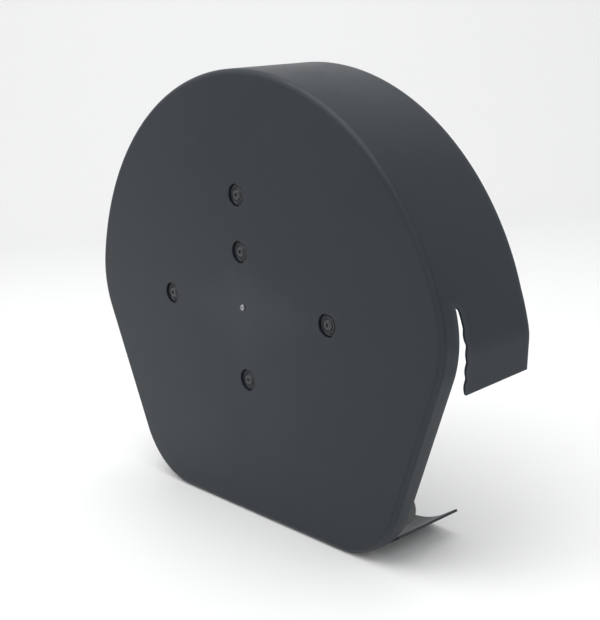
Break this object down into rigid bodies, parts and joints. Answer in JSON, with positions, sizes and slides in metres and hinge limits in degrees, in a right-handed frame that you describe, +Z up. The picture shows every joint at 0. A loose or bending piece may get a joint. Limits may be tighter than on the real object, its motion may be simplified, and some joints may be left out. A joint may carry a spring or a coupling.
{
  "type": "spare tyre cover",
  "caption": "Hard moulded spare tyre cover with an arched top and deep skirt, bolted through face pockets to an inner bar cross with a wheel hub plate.",
  "frame": {"origin": "centre of the wheel bolt circle on the hub plate's seating face", "axes": "+X to the right seen from the front, +Y from the cover's face back towards the wheel, +Z up"},
  "size_m": [0.7212, 0.1487, 0.623],
  "materials": {
    "shell_plastic": "satin with a fine moulded grain",
    "black_steel": "black plated, satin",
    "bare_steel": "bare, slightly heat-tinted at the weld",
    "zinc_steel": "bright zinc",
    "painted_steel": "black powder coat",
    "spacer_nylon": "satin",
    "buffer_rubber": "matt",
    "bond_pad": "matt foam tape"
  },
  "bodies": {
    "root": {"cover_face": "shell_plastic", "cover_rim": "shell_plastic", "arch_skirt": "shell_plastic", "bottom_skirt": "shell_plastic", "cup_washer_top": "black_steel", "cup_washer_middle": "black_steel", "cup_washer_left": "black_steel", "cup_washer_right": "black_steel", "cup_washer_bottom": "black_steel", "bolt_top": "black_steel", "bolt_middle": "black_steel", "bolt_left": "black_steel", "bolt_right": "black_steel", "bolt_bottom": "black_steel", "weld_nut_top": "bare_steel", "weld_nut_middle": "bare_steel", "weld_nut_left": "bare_steel", "weld_nut_right": "bare_steel", "weld_nut_bottom": "bare_steel", "centre_screw": "zinc_steel", "vertical_bar": "painted_steel", "horizontal_bar": "painted_steel", "bar_spacer_left": "spacer_nylon", "bar_spacer_right": "spacer_nylon", "bar_rivets": "zinc_steel", "hub_tube": "painted_steel", "hub_plate": "painted_steel", "buffer_left": "buffer_rubber", "buffer_right": "buffer_rubber", "buffer_pad_left": "bond_pad", "buffer_pad_right": "bond_pad"}
  },
  "joints": []
}
